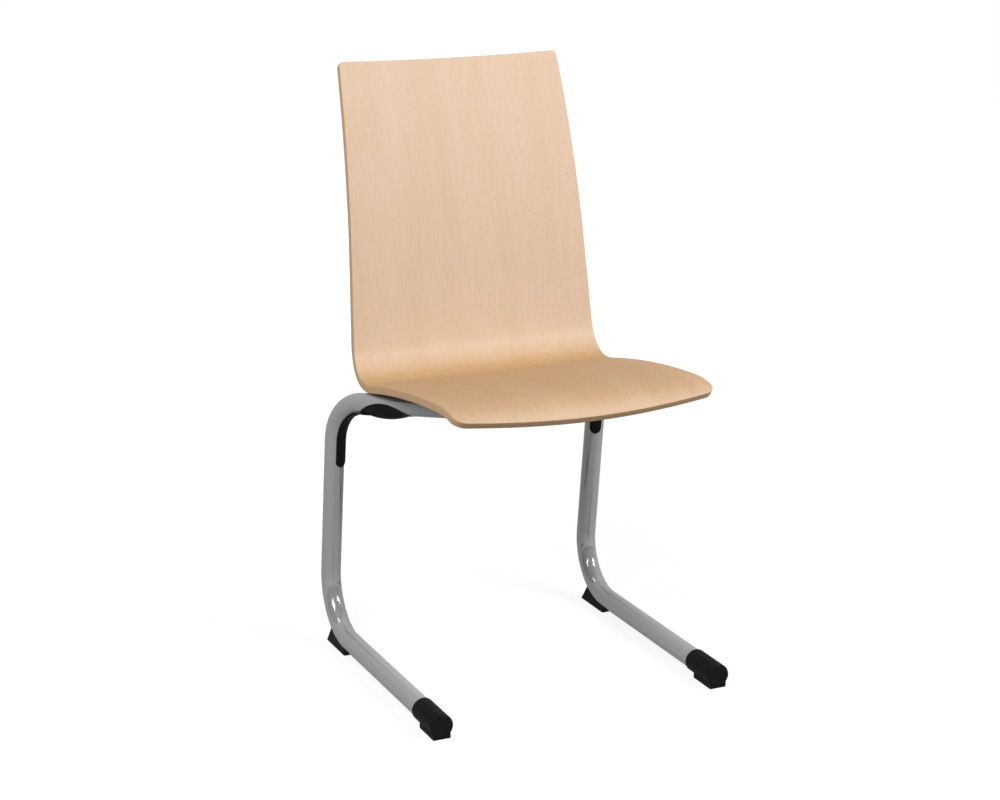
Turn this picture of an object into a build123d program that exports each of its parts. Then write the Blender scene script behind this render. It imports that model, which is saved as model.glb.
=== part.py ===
from build123d import *

import os
from collections import namedtuple
from math import cos, radians, sin, sqrt, tan

# Shell chair: a moulded beech plywood shell on a C-shaped frame of bent steel tube.
# Millimetres and degrees. The chair faces -Y and the floor is Z = 0. Left and right are as seen
# from the front, so left is -X. The origin lies under the middle of the chair's depth.

# Shell: its side profile follows the sitting face, from the dip between seat and back.
SHELL_THICKNESS = 11.5
SEAT_WIDTH = 395.2
BACK_TOP_WIDTH = 351.0
DIP_HEIGHT = 422.2
DIP_RADIUS = 46.4
SEAT_RISE_ANGLE = 13.3
SEAT_CURVE_RADIUS = 1480.0
SEAT_CURVE_ANGLE = 10.6
NOSE_RADIUS = 113.0
NOSE_ANGLE = 36.2
BACK_RECLINE_ANGLE = 8.1
BACK_FLAT_LENGTH = 117.5
BACK_CURVE_RADIUS = 1325.0
BACK_CURVE_ANGLE = 13.18

# Shell outline: bowed front edge, hollow top edge and rounded corners.
NOSE_BOW = 19.5
NOSE_CORNER_RADIUS = 19.0
TOP_HOLLOW = 3.0
TOP_CORNER_RADIUS = 8.0
SIDE_BLEND_LENGTH = 12.0
SHELL_EDGE_ROUND = 1.5

# Side tubes: runner on the floor, leaning upright, and an arm that toes in under the seat.
TUBE_DIAMETER = 30.0
TUBE_WALL = 2.0
TUBE_BEND_RADIUS = 80.0
TRACK_OUTSIDE_SEAT = 19.7
SOLE_LIFT = 4.5
RUNNER_LENGTH = 437.0
HEEL_SETBACK = 114.8
UPRIGHT_LEAN = 7.5
ARM_TOE_IN = 18.7
ARM_GAP = 0.5
ARM_TIP_ALONG = 176.0

# Cross tube between the arms.
CROSS_DIAMETER = 20.0
CROSS_WALL = 1.5
CROSS_AHEAD = 80.0

# Seat fixings: lug on the arm, spacer pad, washer, screw from below, insert in the shell.
REAR_FIX_ALONG = 25.0
FRONT_FIX_ALONG = 145.0
FIX_INSET = 30.0
LUG_WIDTH = 32.0
LUG_THICKNESS = 4.0
LUG_MARGIN = 14.0
LUG_CORNER_RADIUS = 10.0
PAD_DIAMETER = 22.0
PAD_THICKNESS = 2.0
SCREW_DIAMETER = 6.0
SCREW_HEAD_DIAMETER = 10.5
SCREW_HEAD_HEIGHT = 3.3
SCREW_HEAD_ROUND = 1.8
HEX_ACROSS_FLATS = 4.0
HEX_DEPTH = 2.0
WASHER_DIAMETER = 12.0
WASHER_THICKNESS = 1.6
HOLE_CLEARANCE = 0.3
INSERT_DIAMETER = 9.0
INSERT_RECESS = 0.3
INSERT_TIP_GAP = 1.0
WOOD_OVER_INSERT = 2.2
THREAD_CLEARANCE = 0.05

# Front glides: sleeves with a foot, knocked over the runners' ends.
MOULDED_CLEARANCE = 0.1
SLEEVE_WALL = 1.8
SLEEVE_LENGTH = 69.0
SLEEVE_END_WALL = 3.0
SLEEVE_END_ROUND = 3.0
SLEEVE_RIM_ROUND = 0.8
FOOT_WIDTH = 26.6
FOOT_LENGTH = 49.8
FOOT_SETBACK = 1.2
FOOT_EDGE_ROUND = 1.6

# Rear glides: saddle wedges under the heel bends, each held by a screw from below.
REAR_GLIDE_WIDTH = 27.0
REAR_GLIDE_LENGTH = 74.0
REAR_GLIDE_LEAD = 6.0
REAR_GLIDE_BACK_ANGLE = 37.0
REAR_GLIDE_CORNER_ROUND = 2.5
REAR_GLIDE_EDGE_ROUND = 0.8
GLIDE_SCREW_SETBACK = 24.0
GLIDE_SCREW_DIAMETER = 4.0
GLIDE_SCREW_LENGTH = 12.0
GLIDE_SCREW_HEAD_DIAMETER = 7.5
GLIDE_SCREW_HEAD_HEIGHT = 2.2
GLIDE_SCREW_RECESS = 0.6
GLIDE_CROSS_WIDTH = 1.0
GLIDE_CROSS_LENGTH = 4.0
GLIDE_CROSS_DEPTH = 1.2

# Bend guards: a strip inside the shoulder bend that swells into a leaf-shaped pad under the arm.
GUARD_THICKNESS = 2.5
GUARD_HALF_ANGLE = 31.0
GUARD_DROP = 40.0
LEAF_MIDDLE = 60.0
LEAF_LENGTH = 112.0
LEAF_RISE = 4.7
LEAF_TIP_DROP = 12.5
LEAF_SWELL = 6.4
SWELL_DROP = 3.5
LEAF_WALL = 1.5
LEAF_TIP_WALL = 0.5
NOTCH_RADIUS = 18.0
NOTCH_FLOOR = 0.8
NOTCH_BACK = 3.0
PEG_DIAMETER = 6.0
PEG_TAIL = 3.0
STRIP_PEG_DROP = 22.0

# Plugs in the arms' open ends.
PLUG_CAP_THICKNESS = 3.0
PLUG_CAP_ROUND = 1.5
PLUG_STEM_LENGTH = 18.0
PLUG_FIN_COUNT = 3
PLUG_FIN_THICKNESS = 1.6
PLUG_FIN_HEIGHT = 1.4

# Values worked out from the sizes above.
SIDES = {"left": -1, "right": 1}
FIXINGS = ("rear", "front")
ACROSS = Vector(1, 0, 0)
UP = Vector(0, 0, 1)
TUBE_RADIUS = TUBE_DIAMETER / 2
RUNNER_HEIGHT = SOLE_LIFT + TUBE_RADIUS
TRACK_WIDTH = SEAT_WIDTH + 2 * TRACK_OUTSIDE_SEAT
SLEEVE_RADIUS = TUBE_RADIUS + MOULDED_CLEARANCE + SLEEVE_WALL
INSERT_DEPTH = SHELL_THICKNESS - WOOD_OVER_INSERT
CUT_MARGIN = 5.0

ProfileLeg = namedtuple("ProfileLeg", "start heading length turn")
TubeLeg = namedtuple("TubeLeg", "start direction inward length turn")


def heading_vector(angle):
    """Direction in the side view: 0 is forward, 90 is up and 180 is backward."""
    return Vector(0, -cos(radians(angle)), sin(radians(angle)))


def along(leg, distance):
    """Point and heading at a distance along a leg of the profile."""
    if leg.turn == 0:
        return leg.start + heading_vector(leg.heading) * distance, leg.heading
    radius = leg.length / radians(leg.turn)
    heading = leg.heading + leg.turn * distance / leg.length
    centre = leg.start + heading_vector(leg.heading + 90) * radius
    return centre - heading_vector(heading + 90) * radius, heading


def leg_end(leg):
    """Point and heading where a leg ends."""
    return along(leg, leg.length)


def arc_step(radius, turn):
    """Length and turn of an arc, where a positive turn bends from forward to up."""
    return radius * radians(abs(turn)), turn


def walk(start, heading, steps):
    """Legs of a path whose steps are lengths and turns, each tangent to the one before."""
    legs = []
    for length, turn in steps:
        legs.append(ProfileLeg(start, heading, length, turn))
        start, heading = leg_end(legs[-1])
    return legs


def seat_path(dip):
    """Sitting face from the dip forward to the nose."""
    rise = arc_step(DIP_RADIUS, SEAT_RISE_ANGLE)
    curve = arc_step(SEAT_CURVE_RADIUS, -SEAT_CURVE_ANGLE)
    nose = arc_step(NOSE_RADIUS, -NOSE_ANGLE)
    return walk(dip, 0, [rise, curve, nose])


def back_path(dip):
    """Sitting face from the dip backward and up to the top."""
    rise = arc_step(DIP_RADIUS, BACK_RECLINE_ANGLE - 90)
    curve = arc_step(BACK_CURVE_RADIUS, BACK_CURVE_ANGLE)
    return walk(dip, 180, [rise, (BACK_FLAT_LENGTH, 0), curve])


def beside(leg, distance, offset):
    """Point at a distance along a leg, moved sideways towards the leg's left."""
    point, heading = along(leg, distance)
    return point + heading_vector(heading + 90) * offset


def path_edges(legs, offset):
    """Edges of the path that runs beside the legs at an offset towards their left."""
    edges = []
    for leg in legs:
        points = [beside(leg, leg.length * share, offset) for share in (0, 0.5, 1)]
        edges.append(Line(points[0], points[2]) if leg.turn == 0 else ThreePointArc(*points))
    return edges


def shell_band(legs, offset):
    """Blank of half the shell: the side profile's band, a little wider than the seat."""
    start = Line(legs[0].start, beside(legs[0], 0, offset))
    end = Line(leg_end(legs[-1])[0], beside(legs[-1], legs[-1].length, offset))
    profile = make_face([start, *path_edges(legs, 0), end, *path_edges(legs, offset)])
    return extrude(profile, amount=SEAT_WIDTH / 2 + CUT_MARGIN, dir=ACROSS, both=True)


def end_plane(legs):
    """Plane that touches the sitting face at the path's end, with local Y along the path."""
    point, heading = leg_end(legs[-1])
    return Plane(origin=point, x_dir=ACROSS, z_dir=heading_vector(heading - 90))


def mirrored_outline(right_side, end_edge, corner_radius):
    """Closed outline from the edges of its right side and its end, with rounded end corners."""
    left_side = [mirror(edge, about=Plane.YZ) for edge in right_side]
    foot = Line(left_side[0] @ 0, right_side[0] @ 0)
    outline = make_face([foot, *right_side, end_edge, *left_side])
    return fillet(outline.vertices().sort_by(Axis.Y)[-2:], corner_radius)


def seat_outline(dip_below):
    """Seat seen square to its nose: straight sides and a bowed front edge."""
    half = SEAT_WIDTH / 2
    side = Line((half, -dip_below - CUT_MARGIN), (half, -NOSE_BOW))
    front = ThreePointArc((half, -NOSE_BOW), (0, 0), (-half, -NOSE_BOW))
    return mirrored_outline([side], front, NOSE_CORNER_RADIUS)


def back_outline(dip_below):
    """Back seen square to its top: sides that leave the seat's line gently and taper upward."""
    foot_half, top_half = SEAT_WIDTH / 2, BACK_TOP_WIDTH / 2
    knee = Vector(foot_half, SIDE_BLEND_LENGTH - dip_below)
    top = Vector(top_half, 0)
    blend_end = knee + (top - knee).normalized() * SIDE_BLEND_LENGTH
    straight = Line((foot_half, -dip_below - SHELL_THICKNESS - CUT_MARGIN), (foot_half, -dip_below))
    blend = TangentArc((foot_half, -dip_below), blend_end, tangent=(0, 1))
    taper = Line(blend_end, top)
    edge = ThreePointArc(top, (0, -TOP_HOLLOW), (-top_half, 0))
    return mirrored_outline([straight, blend, taper], edge, TOP_CORNER_RADIUS)


def trimmed(band, plane, outline):
    """Shell band cut to an outline that lies in the plane."""
    return band & extrude(plane * outline, amount=SEAT_WIDTH, both=True)


def is_rim_edge(edge):
    """Tells the long edges round the shell from the seams across it and through it."""
    if edge.geom_type != GeomType.LINE:
        return True
    return abs((edge % 0).X) < 0.9 and edge.length > 2 * SHELL_THICKNESS


def shell_blank(seat_legs, back_legs):
    """The moulded shell without the insert holes."""
    dip = seat_legs[0].start
    halves = []
    for legs, offset, outline in (
        (seat_legs, -SHELL_THICKNESS, seat_outline),
        (back_legs, SHELL_THICKNESS, back_outline),
    ):
        plane = end_plane(legs)
        dip_below = (plane.origin - dip).dot(plane.y_dir)
        halves.append(trimmed(shell_band(legs, offset), plane, outline(dip_below)))
    blank = halves[0] + halves[1]
    return fillet(blank.edges().filter_by(is_rim_edge), SHELL_EDGE_ROUND)


def bent_route(corners):
    """Straight and bent legs of a tube through corner points, with one bend radius."""
    legs = []
    start = corners[0]
    for before, corner, after in zip(corners, corners[1:], corners[2:]):
        arriving = (corner - before).normalized()
        leaving = (after - corner).normalized()
        turn = arriving.get_angle(leaving)
        reach = TUBE_BEND_RADIUS * tan(radians(turn / 2))
        hinge = arriving.cross(leaving).normalized()
        bend_start = corner - arriving * reach
        inward = hinge.cross(arriving)
        legs.append(TubeLeg(start, arriving, inward, (bend_start - start).length, 0))
        legs.append(TubeLeg(bend_start, arriving, inward, TUBE_BEND_RADIUS * radians(turn), turn))
        start = corner + leaving * reach
    legs.append(TubeLeg(start, leaving, hinge.cross(leaving), (corners[-1] - start).length, 0))
    return legs


def swept(leg, section):
    """Section carried along one leg of a tube, with its local X towards the bend's inside."""
    placed = Plane(origin=leg.start, x_dir=leg.inward, z_dir=leg.direction) * section
    if leg.turn == 0:
        return extrude(placed, amount=leg.length)
    centre = leg.start + leg.inward * TUBE_BEND_RADIUS
    return revolve(placed, Axis(centre, leg.direction.cross(leg.inward)), revolution_arc=leg.turn)


def swept_all(legs, section):
    """Section carried along several legs, as one solid."""
    first, *others = [swept(leg, section) for leg in legs]
    return first.fuse(*others)


def post(origin, axis, radius, low, high):
    """Round post round an axis through a point, between two heights along that axis."""
    plane = Plane(origin=origin + axis * low, z_dir=axis)
    return extrude(plane * Circle(radius), amount=high - low)


# The dip lies so far from the origin that the nose and the back's rear top edge are level with it.
level_dip = Vector(0, 0, DIP_HEIGHT)
front_reach = leg_end(seat_path(level_dip)[-1])[0].Y
top_leg = back_path(level_dip)[-1]
rear_reach = beside(top_leg, top_leg.length, SHELL_THICKNESS).Y
dip = Vector(0, -(front_reach + rear_reach) / 2, DIP_HEIGHT)
seat_legs = seat_path(dip)
back_legs = back_path(dip)

# The arms run under the shell, with the same gap where the seat curve starts and at their tips.
seat_curve = seat_legs[1]
stations = {"start": 0, "rear": REAR_FIX_ALONG, "front": FRONT_FIX_ALONG, "tip": ARM_TIP_ALONG}
underside = {name: beside(seat_curve, distance, -SHELL_THICKNESS) for name, distance in stations.items()}
arm_heading = (underside["tip"] - underside["start"]).normalized()
arm_drop = ACROSS.cross(arm_heading) * (TUBE_RADIUS + ARM_GAP)
arm_start = underside["start"] + arm_drop
heel = Vector(0, dip.Y + HEEL_SETBACK, RUNNER_HEIGHT)
upright = heading_vector(90 - UPRIGHT_LEAN)
past_shoulder = (heel - arm_start).cross(upright).X / arm_heading.cross(upright).X
shoulder = arm_start + arm_heading * past_shoulder
reaches = {name: (point + arm_drop - shoulder).dot(arm_heading) for name, point in underside.items()}


def arm_direction(side):
    """Direction of an arm from its shoulder, forward, up and inward."""
    return arm_heading * cos(radians(ARM_TOE_IN)) - ACROSS * side * sin(radians(ARM_TOE_IN))


def arm_point(side, reach):
    """Point on an arm's axis, at a distance from the shoulder as the side view shows it."""
    corner = shoulder + ACROSS * side * TRACK_WIDTH / 2
    return corner + arm_direction(side) * (reach / cos(radians(ARM_TOE_IN)))


def side_route(side):
    """Legs of one side tube: runner, heel bend, upright, shoulder bend and arm."""
    beside_track = ACROSS * side * TRACK_WIDTH / 2
    toe = heel - Vector(0, RUNNER_LENGTH, 0)
    tip = arm_point(side, reaches["tip"])
    return bent_route([toe + beside_track, heel + beside_track, shoulder + beside_track, tip])


def fix_plane(side, station):
    """Plane of a fixing: origin on the shell's underside, Z into the shell, X towards the arm."""
    normal = heading_vector(along(seat_curve, stations[station])[1] + 90)
    axis_point = arm_point(side, reaches[station])
    below = underside[station]
    origin = Vector(axis_point.X - side * FIX_INSET, below.Y, below.Z)
    return Plane(origin=origin, x_dir=normal.cross(arm_direction(side)) * side, z_dir=normal)


def guard_pegs(route):
    """Axis points and directions of a guard's pegs, in the strip and in the leaf's middle."""
    _, _, stem, _, arm = route
    strip_point = stem.start + stem.direction * (stem.length - STRIP_PEG_DROP)
    leaf_point = arm.start + arm.direction * LEAF_MIDDLE
    return [(strip_point, route[3].inward), (leaf_point, arm.inward)]


def glide_screw_place(route):
    """Floor point below the middle of a rear glide's screw."""
    bend_start = route[1].start
    return Vector(bend_start.X, bend_start.Y - REAR_GLIDE_LEAD + GLIDE_SCREW_SETBACK, 0)


def side_tube(route):
    """Bent tube with the holes for the guard's pegs and the rear glide's screw."""
    tube = swept_all(route, Circle(TUBE_RADIUS) - Circle(TUBE_RADIUS - TUBE_WALL))
    for point, inward in guard_pegs(route):
        tube -= post(point, inward, PEG_DIAMETER / 2 + MOULDED_CLEARANCE, 0, TUBE_DIAMETER)
    pilot = GLIDE_SCREW_DIAMETER / 2 + THREAD_CLEARANCE
    return tube - post(glide_screw_place(route), UP, pilot, 0, RUNNER_HEIGHT)


def cross_tube(reach, arms):
    """Tube between the arms, its ends cut to sit on them."""
    axis_point = arm_point(1, reach)
    radius = CROSS_DIAMETER / 2
    middle = Vector(0, axis_point.Y, axis_point.Z)
    bar = post(middle, ACROSS, radius, -axis_point.X, axis_point.X)
    bar -= post(middle, ACROSS, radius - CROSS_WALL, -axis_point.X, axis_point.X)
    for arm in arms:
        bar -= arm
    return bar


def seat_lug(plane, arm):
    """Plate welded to an arm, with a hole for the seat screw."""
    to_axis = FIX_INSET * cos(radians(ARM_TOE_IN))
    length = LUG_MARGIN + to_axis
    outline = Pos((to_axis - LUG_MARGIN) / 2, 0) * Rectangle(length, LUG_WIDTH)
    inner_corners = outline.vertices().sort_by(Axis.X)[:2]
    plate = fillet(inner_corners, LUG_CORNER_RADIUS) - Circle(SCREW_DIAMETER / 2 + HOLE_CLEARANCE)
    lower = plane.offset(-PAD_THICKNESS - LUG_THICKNESS)
    return extrude(lower * plate, amount=LUG_THICKNESS) - arm


def seat_pad(plane, shell):
    """Spacer between a lug and the shell, its upper face shaped by the shell."""
    ring = Circle(PAD_DIAMETER / 2) - Circle(SCREW_DIAMETER / 2 + HOLE_CLEARANCE)
    blank = extrude(plane.offset(-PAD_THICKNESS) * ring, amount=PAD_THICKNESS + SHELL_THICKNESS / 2)
    return blank - shell


def seat_insert(plane):
    """Threaded insert, its mouth a little above the shell's underside."""
    ring = Circle(INSERT_DIAMETER / 2) - Circle(SCREW_DIAMETER / 2 + THREAD_CLEARANCE)
    return extrude(plane.offset(INSERT_RECESS) * ring, amount=INSERT_DEPTH - INSERT_RECESS)


def insert_hole(plane):
    """Blind hole in the shell's underside for an insert."""
    radius = INSERT_DIAMETER / 2 + THREAD_CLEARANCE
    return extrude(plane.offset(-PAD_THICKNESS) * Circle(radius), amount=PAD_THICKNESS + INSERT_DEPTH)


def seat_washer(plane):
    """Flat washer under a lug."""
    ring = Circle(WASHER_DIAMETER / 2) - Circle(SCREW_DIAMETER / 2 + HOLE_CLEARANCE)
    lower = plane.offset(-PAD_THICKNESS - LUG_THICKNESS - WASHER_THICKNESS)
    return extrude(lower * ring, amount=WASHER_THICKNESS)


def seat_screw(plane):
    """Button-head screw with a hexagon socket, driven from below."""
    under_head = PAD_THICKNESS + LUG_THICKNESS + WASHER_THICKNESS
    below = (Align.CENTER, Align.CENTER, Align.MAX)
    head = Cylinder(SCREW_HEAD_DIAMETER / 2, SCREW_HEAD_HEIGHT, align=below)
    head = fillet(head.edges().sort_by(Axis.Z)[:1], SCREW_HEAD_ROUND)
    socket = RegularPolygon(HEX_ACROSS_FLATS / 2, 6, major_radius=False)
    head -= Pos(0, 0, -SCREW_HEAD_HEIGHT) * extrude(socket, amount=HEX_DEPTH)
    shank_length = under_head + INSERT_DEPTH - INSERT_TIP_GAP
    shank = extrude(Circle(SCREW_DIAMETER / 2), amount=shank_length)
    return plane.offset(-under_head).location * (head + shank)


def front_glide(route):
    """Closed sleeve over a runner's end, with a foot below it."""
    toe = route[0].start
    end = Vector(toe.X, toe.Y - SLEEVE_END_WALL - MOULDED_CLEARANCE, RUNNER_HEIGHT)
    rearward = Vector(0, 1, 0)
    sleeve = post(end, rearward, SLEEVE_RADIUS, 0, SLEEVE_LENGTH)
    rims = sleeve.edges().filter_by(GeomType.CIRCLE).sort_by(Axis.Y)
    sleeve = fillet(rims[:1], SLEEVE_END_ROUND)
    rims = sleeve.edges().filter_by(GeomType.CIRCLE).sort_by(Axis.Y)
    sleeve = fillet(rims[-1:], SLEEVE_RIM_ROUND)
    foot = Box(FOOT_WIDTH, FOOT_LENGTH, RUNNER_HEIGHT, align=(Align.CENTER, Align.MIN, Align.MIN))
    sole_and_corners = foot.edges().filter_by(Axis.Z) + foot.edges().group_by(Axis.Z)[0]
    foot = Pos(end.X, end.Y + FOOT_SETBACK, 0) * fillet(sole_and_corners, FOOT_EDGE_ROUND)
    bore_start = SLEEVE_END_WALL + MOULDED_CLEARANCE
    bore = post(end, rearward, TUBE_RADIUS + MOULDED_CLEARANCE, bore_start, SLEEVE_LENGTH)
    return sleeve + foot - bore


def rear_glide(route):
    """Wedge that fills the space between the floor and a heel bend, with a recess for its screw."""
    bend = route[1]
    centre = bend.start + bend.inward * TUBE_BEND_RADIUS
    front_y = bend.start.Y - REAR_GLIDE_LEAD
    sole_front = Vector(bend.start.X, front_y, 0)
    sole_rear = Vector(bend.start.X, front_y + REAR_GLIDE_LENGTH, 0)
    slope = heading_vector(90 - REAR_GLIDE_BACK_ANGLE)
    to_sole = sole_rear - centre
    nearest = -slope.dot(to_sole)
    climb = nearest - sqrt(nearest**2 - to_sole.dot(to_sole) + TUBE_BEND_RADIUS**2)
    rear_top = sole_rear + slope * climb
    bend_chord = (rear_top - bend.start) * 0.5 + bend.start
    bend_middle = centre + (bend_chord - centre).normalized() * TUBE_BEND_RADIUS
    front_top = sole_front + UP * RUNNER_HEIGHT
    profile = make_face([
        Line(sole_front, sole_rear),
        Line(sole_rear, rear_top),
        ThreePointArc(rear_top, bend_middle, bend.start),
        Line(bend.start, front_top),
        Line(front_top, sole_front),
    ])
    wedge = extrude(profile, amount=REAR_GLIDE_WIDTH / 2, dir=ACROSS, both=True)
    wedge = fillet(wedge.edges().filter_by(Axis.Z), REAR_GLIDE_CORNER_ROUND)
    other_edges = wedge.edges().filter_by(Axis.Z, reverse=True)
    outer_edges = other_edges.filter_by(lambda edge: edge.center().Z < RUNNER_HEIGHT)
    wedge = fillet(outer_edges, REAR_GLIDE_EDGE_ROUND)
    for leg in route[:2]:
        wedge -= swept(leg, Circle(TUBE_RADIUS + MOULDED_CLEARANCE))
    place = glide_screw_place(route)
    recess = GLIDE_SCREW_RECESS + GLIDE_SCREW_HEAD_HEIGHT
    wedge -= post(place, UP, GLIDE_SCREW_HEAD_DIAMETER / 2 + HOLE_CLEARANCE, 0, recess)
    return wedge - post(place, UP, GLIDE_SCREW_DIAMETER / 2 + HOLE_CLEARANCE, 0, RUNNER_HEIGHT)


def glide_screw(route):
    """Short pan-head screw through a rear glide into the tube's wall."""
    place = glide_screw_place(route)
    head_top = GLIDE_SCREW_RECESS + GLIDE_SCREW_HEAD_HEIGHT
    screw = post(place, UP, GLIDE_SCREW_HEAD_DIAMETER / 2, GLIDE_SCREW_RECESS, head_top)
    screw += post(place, UP, GLIDE_SCREW_DIAMETER / 2, head_top, head_top + GLIDE_SCREW_LENGTH)
    cross = Rectangle(GLIDE_CROSS_LENGTH, GLIDE_CROSS_WIDTH)
    cross += Rectangle(GLIDE_CROSS_WIDTH, GLIDE_CROSS_LENGTH)
    return screw - extrude(Pos(place.X, place.Y, GLIDE_SCREW_RECESS) * cross, amount=GLIDE_CROSS_DEPTH)


def guard_strip_section():
    """Part of a ring that lies on the tube's surface, on the bend's inside."""
    inner = TUBE_RADIUS + MOULDED_CLEARANCE
    outer = inner + GUARD_THICKNESS
    arcs = [CenterArc((0, 0), radius, -GUARD_HALF_ANGLE, 2 * GUARD_HALF_ANGLE) for radius in (inner, outer)]
    flanks = [Line(arcs[0] @ end, arcs[1] @ end) for end in (0, 1)]
    return make_face([*arcs, *flanks])


def guard_strip(route):
    """Strip from its rounded lower end, round the shoulder bend and on to the leaf."""
    _, _, stem, bend, arm = route
    low_end = bend.start - stem.direction * GUARD_DROP
    straight = TubeLeg(low_end, stem.direction, bend.inward, GUARD_DROP, 0)
    section = guard_strip_section()
    half_width = (TUBE_RADIUS + MOULDED_CLEARANCE + GUARD_THICKNESS) * sin(radians(GUARD_HALF_ANGLE))
    end_plane_inside = Plane(origin=low_end, x_dir=stem.direction, z_dir=bend.inward)
    end_block = Pos(half_width / 2, 0) * Rectangle(half_width, 2 * half_width)
    end_round = Pos(half_width, 0) * Circle(half_width)
    corners = extrude(end_plane_inside * (end_block - end_round), amount=TUBE_DIAMETER)
    run_to_leaf = TubeLeg(arm.start, arm.direction, arm.inward, LEAF_MIDDLE, 0)
    lower = swept(straight, section) - corners
    return lower.fuse(swept(bend, section), swept(run_to_leaf, section))


def leaf_barrel(plane, axis_drop, end_drop, middle_drop):
    """Barrel along the arm whose lowest line bows from the ends' drop to the middle's drop."""
    half = LEAF_LENGTH / 2
    bow = ThreePointArc((-half, end_drop), (0, middle_drop), (half, end_drop))
    ends = Polyline((half, end_drop), (half, axis_drop), (-half, axis_drop), (-half, end_drop))
    axis = Axis(plane.origin + plane.y_dir * axis_drop, plane.x_dir)
    return revolve(plane * make_face([bow, *ends.edges()]), axis)


def guard_leaf(route):
    """Layer on the tube with a swelling below it, cut to the shape of a leaf in the side view."""
    arm = route[4]
    middle = arm.start + arm.direction * LEAF_MIDDLE
    plane = Plane(origin=middle, x_dir=arm.direction, z_dir=arm.direction.cross(arm.inward))
    half = LEAF_LENGTH / 2
    layer = leaf_barrel(plane, 0, TUBE_RADIUS + LEAF_TIP_WALL, TUBE_RADIUS + LEAF_WALL)
    swelling = leaf_barrel(plane, SWELL_DROP, LEAF_TIP_DROP, TUBE_RADIUS + LEAF_SWELL)
    upper_edge = ThreePointArc((-half, LEAF_TIP_DROP), (0, -LEAF_RISE), (half, LEAF_TIP_DROP))
    below = Polyline(
        (half, LEAF_TIP_DROP),
        (half + CUT_MARGIN, TUBE_DIAMETER),
        (-half - CUT_MARGIN, TUBE_DIAMETER),
        (-half, LEAF_TIP_DROP),
    )
    side_view = make_face([upper_edge, *below.edges()])
    return (layer + swelling) & extrude(plane * side_view, amount=TUBE_DIAMETER, both=True)


def guard_notch(route):
    """Ring-shaped groove that thins the guard where the strip meets the leaf."""
    arm = route[4]
    plane = Plane(origin=arm.start - arm.direction * NOTCH_BACK, z_dir=arm.direction)
    return plane.location * Torus(TUBE_RADIUS + NOTCH_FLOOR + NOTCH_RADIUS, NOTCH_RADIUS)


def bend_guard(route):
    """Moulded guard on the inside of a shoulder bend, held by pegs in the tube's wall."""
    guard = guard_strip(route) + guard_leaf(route) - guard_notch(route)
    guard -= swept_all(route[2:], Circle(TUBE_RADIUS + MOULDED_CLEARANCE))
    for point, inward in guard_pegs(route):
        low = TUBE_RADIUS - TUBE_WALL - PEG_TAIL
        high = TUBE_RADIUS + MOULDED_CLEARANCE + GUARD_THICKNESS / 2
        guard += post(point, inward, PEG_DIAMETER / 2, low, high)
    return guard


def arm_plug(route):
    """Cap with a finned stem that closes an arm's end."""
    arm = route[4]
    tip = arm.start + arm.direction * arm.length
    bore = TUBE_RADIUS - TUBE_WALL - MOULDED_CLEARANCE
    cap = post(tip, arm.direction, TUBE_RADIUS, 0, PLUG_CAP_THICKNESS)
    cap = fillet(cap.edges().filter_by(GeomType.CIRCLE).sort_by(Axis.Y)[:1], PLUG_CAP_ROUND)
    plug = cap + post(tip, arm.direction, bore - PLUG_FIN_HEIGHT, -PLUG_STEM_LENGTH, 0)
    pitch = PLUG_STEM_LENGTH / PLUG_FIN_COUNT
    for number in range(PLUG_FIN_COUNT):
        low = -PLUG_STEM_LENGTH + number * pitch
        plug += post(tip, arm.direction, bore, low, low + PLUG_FIN_THICKNESS)
    return plug


def build():
    """Every piece of the chair by its node's name."""
    nodes = {}
    routes = {name: side_route(side) for name, side in SIDES.items()}
    arms = {name: swept_all(route[2:], Circle(TUBE_RADIUS)) for name, route in routes.items()}
    shell = shell_blank(seat_legs, back_legs)
    planes = {
        (name, station): fix_plane(side, station) for name, side in SIDES.items() for station in FIXINGS
    }
    nodes["seat_shell"] = shell.cut(*[insert_hole(plane) for plane in planes.values()])
    nodes["seat_cross_tube"] = cross_tube(reaches["rear"] + CROSS_AHEAD, arms.values())
    for (name, station), plane in planes.items():
        nodes[f"{name}_{station}_seat_lug"] = seat_lug(plane, arms[name])
    nodes["seat_spacer_pads"] = Compound([seat_pad(plane, shell).solid() for plane in planes.values()])
    nodes["seat_inserts"] = Compound([seat_insert(plane).solid() for plane in planes.values()])
    nodes["seat_washers"] = Compound([seat_washer(plane).solid() for plane in planes.values()])
    nodes["seat_screws"] = Compound([seat_screw(plane).solid() for plane in planes.values()])
    for name, route in routes.items():
        nodes[f"{name}_side_tube"] = side_tube(route)
        nodes[f"{name}_front_glide"] = front_glide(route)
        nodes[f"{name}_rear_glide"] = rear_glide(route)
        nodes[f"{name}_bend_guard"] = bend_guard(route)
        nodes[f"{name}_arm_plug"] = arm_plug(route)
    nodes["rear_glide_screws"] = Compound([glide_screw(route).solid() for route in routes.values()])
    return nodes


os.makedirs("parts", exist_ok=True)
for node_name, shape in build().items():
    export_step(shape, f"parts/{node_name}.step")
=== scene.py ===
"""Dressed model of a shell chair: beech plywood shell on a C-shaped frame of silver tube.

The sizes of the shell and the welds are in millimetres and degrees, as in the part's source, and their
meshes end in metres. The finishes and the studio are in metres. The chair faces -Y, and left is -X.
"""

import logging
import math
from dataclasses import dataclass, field
from enum import Enum

import bmesh
import bpy
from bmesh.types import BMesh
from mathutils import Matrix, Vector
from mathutils.bvhtree import BVHTree


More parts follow.
